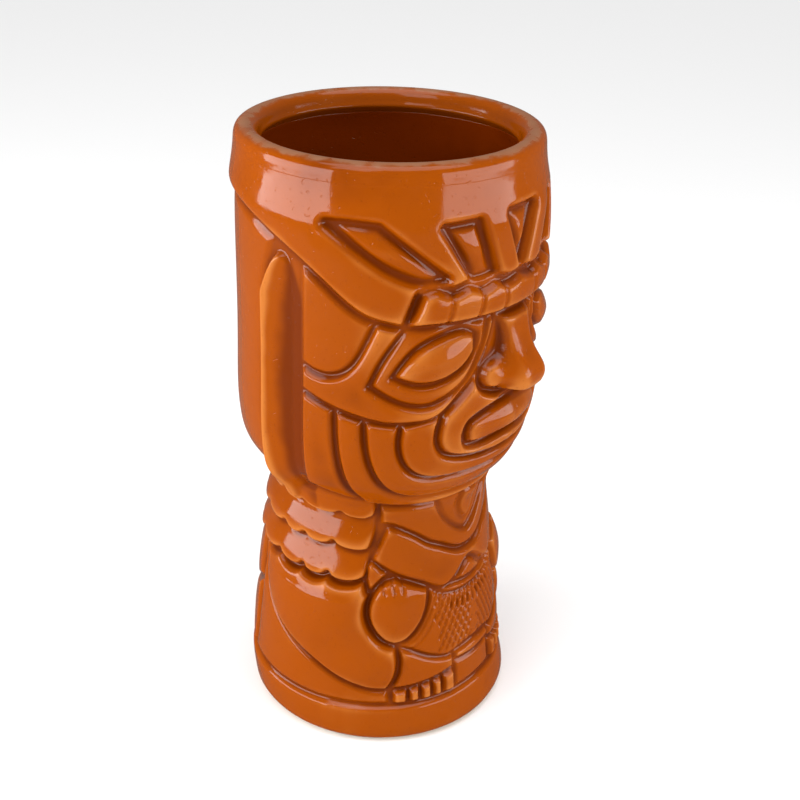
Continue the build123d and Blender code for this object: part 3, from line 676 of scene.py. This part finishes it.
def glaze_coat():
    """Clear glaze over a coloured one: thin and pale on edges, deep in hollows, faintly wavy; the depth it is
    given also carries painted shade.
    """
    colour, number = "NodeSocketColor", "NodeSocketFloat"
    group, given, result = new_group(
        "glaze_coat",
        [("Pool_and_shade", number), ("Thin", colour), ("Body", colour), ("Deep", colour), ("Speckle", number)],
        [("Colour", colour), ("Roughness", number), ("Height", number)])
    where = group.nodes.new("ShaderNodeTexCoord").outputs["Object"]
    drift = noise(group, where, 38.0, 3.0)
    # glaze depth with its painted shade, plus a slow random drift
    depth = do_sum(group, "ADD", given.outputs["Pool_and_shade"],
                   do_sum(group, "MULTIPLY", do_sum(group, "SUBTRACT", drift, 0.47), 0.75))
    shade = blend_colours(group, between(group, depth, 0.08, 0.43), given.outputs["Thin"],
                          given.outputs["Body"])
    shade = blend_colours(group, between(group, depth, 0.5, 0.9), shade, given.outputs["Deep"])
    spots = noise(group, where, 1500.0, 1.0)
    dots = do_sum(group, "MULTIPLY", between(group, spots, 0.68, 0.76), given.outputs["Speckle"])
    shade = blend_colours(group, dots, shade, given.outputs["Deep"])
    wave = noise(group, where, 95.0, 2.0)
    peel = noise(group, where, 620.0, 2.0)
    pits = between(group, noise(group, where, 900.0, 0.0), 0.75, 0.8)
    tall = do_sum(group, "ADD", wave, do_sum(group, "MULTIPLY", peel, 0.12))
    tall = do_sum(group, "SUBTRACT", tall, do_sum(group, "MULTIPLY", pits, 0.3))
    group.links.new(shade, result.inputs["Colour"])
    group.links.new(between(group, noise(group, where, 240.0, 3.0), 0.3, 0.75, 0.07, 0.15),
                    result.inputs["Roughness"])
    group.links.new(tall, result.inputs["Height"])
    return group


COAT = glaze_coat()


def glaze(name, thin, body, deep, speckle=0.3, pool_depth=None):
    """A glazed finish, from its colour where it lies thin, even and deep."""
    finish = bpy.data.materials.new(name)
    finish.use_nodes = True
    tree = finish.node_tree
    shader = tree.nodes["Principled BSDF"]
    coat = put(tree, "ShaderNodeGroup", {"node_tree": COAT}, Thin=thin, Body=body, Deep=deep,
               Speckle=speckle)
    if pool_depth is None:
        # the glaze depth read from the piece, painted shade included
        pooled_and_shaded = put(tree, "ShaderNodeAttribute", {"attribute_name": "pool_and_shade"})
        tree.links.new(pooled_and_shaded.outputs["Fac"], coat.inputs["Pool_and_shade"])
    else:
        coat.inputs["Pool_and_shade"].default_value = pool_depth
    tree.links.new(coat.outputs["Colour"], shader.inputs["Base Color"])
    tree.links.new(coat.outputs["Roughness"], shader.inputs["Roughness"])
    ripple = put(tree, "ShaderNodeBump", Strength=0.35, Distance=0.0004, Height=coat.outputs["Height"])
    tree.links.new(ripple.outputs["Normal"], shader.inputs["Normal"])
    shader.inputs["IOR"].default_value = 1.5
    shader.inputs["Specular IOR Level"].default_value = 0.25
    return finish


# the deep colour also serves as the painted shade in the cuts and the ear's front hollow
AMBER_SHADES = rgb(184, 106, 42), rgb(150, 67, 0), rgb(108, 41, 0)      # thin, even, deep
INSIDE_SHADES = rgb(158, 66, 6), rgb(140, 52, 2), rgb(92, 26, 0)
EVEN = 0.5                                  # glaze depth of the turned pieces, which don't pool
AMBER = glaze("amber_glaze", *AMBER_SHADES)
RIM = glaze("lip_glaze", *AMBER_SHADES, pool_depth=EVEN)
INSIDE = glaze("cup_glaze", *INSIDE_SHADES, pool_depth=EVEN)


def worn_crest():
    """The lip's crest, where the glaze is rubbed dull and grey."""
    tree = RIM.node_tree
    shader = tree.nodes["Principled BSDF"]
    coat = next(n for n in tree.nodes if n.type == "GROUP")
    where = tree.nodes.new("ShaderNodeTexCoord").outputs["Object"]
    tall = put(tree, "ShaderNodeSeparateXYZ", Vector=where).outputs["Z"]
    rag = do_sum(tree, "MULTIPLY", do_sum(tree, "SUBTRACT", noise(tree, where, 260.0, 4.0), 0.5), 0.0016)
    top = between(tree, do_sum(tree, "ADD", tall, rag), 0.1644, 0.1651)
    shade = blend_colours(tree, do_sum(tree, "MULTIPLY", top, 0.75), coat.outputs["Colour"],
                          rgb(150, 108, 80))
    tree.links.new(shade, shader.inputs["Base Color"])
    dull = do_sum(tree, "ADD", coat.outputs["Roughness"], do_sum(tree, "MULTIPLY", top, 0.3))
    tree.links.new(dull, shader.inputs["Roughness"])


worn_crest()


def bare_clay():
    """Unglazed buff clay, dull and finely gritty."""
    finish = bpy.data.materials.new("bare_clay")
    finish.use_nodes = True
    tree = finish.node_tree
    shader = tree.nodes["Principled BSDF"]
    where = tree.nodes.new("ShaderNodeTexCoord").outputs["Object"]
    cloud = noise(tree, where, 60.0, 4.0)
    grit = noise(tree, where, 1400.0, 2.0)
    shade = blend_colours(tree, cloud, rgb(214, 196, 168), rgb(190, 166, 134))
    shade = blend_colours(tree, between(tree, grit, 0.62, 0.72), shade, rgb(150, 122, 92))
    tree.links.new(shade, shader.inputs["Base Color"])
    tree.links.new(between(tree, grit, 0.2, 0.8, 0.7, 0.92), shader.inputs["Roughness"])
    ripple = put(tree, "ShaderNodeBump", Strength=0.4, Distance=0.0001, Height=grit)
    tree.links.new(ripple.outputs["Normal"], shader.inputs["Normal"])
    return finish


CLAY = bare_clay()


# ---------------------------------------------------------------- making the mug
def make_skin():
    """Every carved mass as a piece, and the left and right of those that come in twos."""
    side = np.where(np.arange(COLUMNS) < HALF, -1, 1)[None, :]
    squares = whole_label[:-1, :]
    for number, base in enumerate(base_names):
        mine = squares == number
        if base in SIDED:
            shares = {f"{base}_left": mine & (side == -1), f"{base}_right": mine & (side == 1)}
        else:
            shares = {base: mine}
        for node, belongs in shares.items():
            mesh = cut_piece(f"{node}_glazed", belongs)
            mesh.materials.append(AMBER)
            add_piece(f"{node}_glazed", mesh, "amber_glaze", node)


def make_lip():
    """Rolled lip with its sharp inner edge and the undercut behind it."""
    rim = [tuple(p) for p in smooth_run(LIP, 6)]
    under = [(33.4, 158.7), (34.4, 157.4), (36.6, 157.4), (38.2, 158.6)]
    mesh = turned("lip_glazed", rim + under)
    mesh.materials.append(RIM)
    add_piece("lip_glazed", mesh, "lip_glaze", "lip")


def make_lining():
    """The glazed inside: straight in the head, narrow in the neck, round at the floor."""
    inner = [(0, 8), (14, 8.1), (21, 8.8), (25.4, 11), (27.6, 15), (28, 22), (28, 40), (27.6, 50),
             (26.2, 59), (25.2, 65), (25.4, 70), (27.8, 75.4), (31.4, 81), (33.6, 88), (34, 98),
             (34, 130), (34, 150), (33.9, 156), (33.3, 158.9)]
    inner = [tuple(p) for p in smooth_run(inner, 5)]
    outer = [(34.9, 158.6), (35.6, 156), (35.6, 98), (34.2, 86), (28.6, 76), (26.4, 69), (26.4, 64),
             (29.2, 48), (29.6, 20), (28, 11), (22, 7), (0, 6.4)]
    mesh = turned("cup_lining", inner + outer, 240)
    mesh.materials.append(INSIDE)
    add_piece("cup_lining", mesh, "cup_glaze", "head_wall", "throat_wall", "body_wall")


def make_foot_ring():
    """Bare clay ring that the mug stands on, hollow inside."""
    mesh = turned("foot_ring_clay", [(29.2, 0), (33.8, 0), (34.7, 0.3), (35.4, 0.9), (35.7, 1.6),
                                     (34, 2.2), (28, 2.2), (28.2, 1.4)])
    mesh.materials.append(CLAY)
    add_piece("foot_ring_clay", mesh, "bare_clay", "foot_ring")


# ---------------------------------------------------------------- studio
VIEW_TURN = -53.0                           # the camera stands to the left of the front
PAPER, PAPER_IN_GLOSS = (0.93, 0.93, 0.93, 1), (0.16, 0.15, 0.14, 1)
WORLD_LIGHT, WORLD_SEEN = 0.16, 0.85        # the world's strength as a light, and to the camera
PANEL_AWAY, PANEL_UP, PANEL_WIDE = 0.5, 0.19, 0.56      # metres, of the two low panels


def make_floor():
    """White paper, darker in the glaze's reflections so that they don't wash its colour out."""
    floor = bmesh.new()
    bmesh.ops.create_grid(floor, x_segments=1, y_segments=1, size=3.0)
    mesh = bpy.data.meshes.new("floor")
    floor.to_mesh(mesh)
    floor.free()
    paper = bpy.data.materials.new("white_paper")
    paper.use_nodes = True
    shader = paper.node_tree.nodes["Principled BSDF"]
    in_gloss = put(paper.node_tree, "ShaderNodeLightPath").outputs["Is Glossy Ray"]
    shade = blend_colours(paper.node_tree, in_gloss, PAPER, PAPER_IN_GLOSS)
    paper.node_tree.links.new(shade, shader.inputs["Base Color"])
    shader.inputs["Roughness"].default_value = 0.9
    shader.inputs["Specular IOR Level"].default_value = 0.1
    mesh.materials.append(paper)
    ground = bpy.data.objects.new("floor", mesh)
    bpy.context.scene.collection.objects.link(ground)


def make_light(name, place, aim, size, power, height_share=1.0):
    """An area lamp aimed at a point; its height is a share of its width."""
    lamp = bpy.data.lights.new(name, "AREA")
    lamp.shape = "RECTANGLE"
    lamp.size = size
    lamp.size_y = size * height_share
    lamp.energy = power
    thing = bpy.data.objects.new(name, lamp)
    bpy.context.scene.collection.objects.link(thing)
    thing.location = place
    thing.rotation_euler = (Vector(aim) - Vector(place)).to_track_quat("-Z", "Y").to_euler()


def seen_from(right, towards, up):
    """A place given from where the camera stands: right of it, towards it, and up, in metres."""
    way = radians(VIEW_TURN)
    return (right * cos(way) + towards * sin(way), right * sin(way) - towards * cos(way), up)


def make_lights():
    """Two low panels that shine in the crown, a weak one over it, an even light and a dim world."""
    for name, side, power in (("left_panel", -68, 3.2), ("right_panel", 66, 2.1)):
        place = seen_from(PANEL_AWAY * sin(radians(side)), PANEL_AWAY * cos(radians(side)), PANEL_UP)
        make_light(name, place, (0, 0, 0.15), PANEL_WIDE, power, 0.42)
    make_light("top_panel", seen_from(-0.3, 0.5, 0.8), (0, 0, 0.09), 0.4, 1.6)
    sun = bpy.data.lights.new("even_light", "SUN")
    sun.energy = 2.3
    sun.angle = radians(60)
    even = bpy.data.objects.new("even_light", sun)
    bpy.context.scene.collection.objects.link(even)
    even.rotation_euler = (radians(4), 0, 0)
    world = bpy.data.worlds.new("studio")
    world.use_nodes = True
    tree = world.node_tree
    backdrop = tree.nodes["Background"]
    backdrop.inputs["Color"].default_value = (1, 1, 1, 1)
    direct = put(tree, "ShaderNodeLightPath").outputs["Is Camera Ray"]
    strength = put(tree, "ShaderNodeMapRange", Value=direct, _3=WORLD_LIGHT, _4=WORLD_SEEN)
    tree.links.new(strength.outputs[0], backdrop.inputs["Strength"])
    bpy.context.scene.world = world
    bpy.context.scene.view_settings.view_transform = "Standard"


def make_camera():
    """Camera left of the mug's front, looking down on it; its place is in heights of the mug."""
    yaw, pitch, roll = 0.0136, 0.4721, 0.0281
    ahead = Vector((sin(yaw) * cos(pitch), cos(yaw) * cos(pitch), -sin(pitch)))
    right = ahead.cross(Vector((0, 0, 1))).normalized()
    up = right.cross(ahead)
    right, up = right * cos(roll) + up * sin(roll), up * cos(roll) - right * sin(roll)
    about = Matrix.Rotation(radians(VIEW_TURN), 3, "Z")
    place = about @ (Vector((0, -1.8854, 1.4985)) * (HEIGHT * MM))
    axes = about @ Matrix((right, up, -ahead)).transposed()
    lens = bpy.data.cameras.new("camera")
    lens.sensor_width = 36
    lens.lens = 57.8097
    camera = bpy.data.objects.new("camera", lens)
    bpy.context.scene.collection.objects.link(camera)
    camera.matrix_world = Matrix.Translation(place) @ axes.to_4x4()
    bpy.context.scene.camera = camera


make_camera()
make_skin()
make_lip()
make_lining()
make_foot_ring()
make_floor()
make_lights()
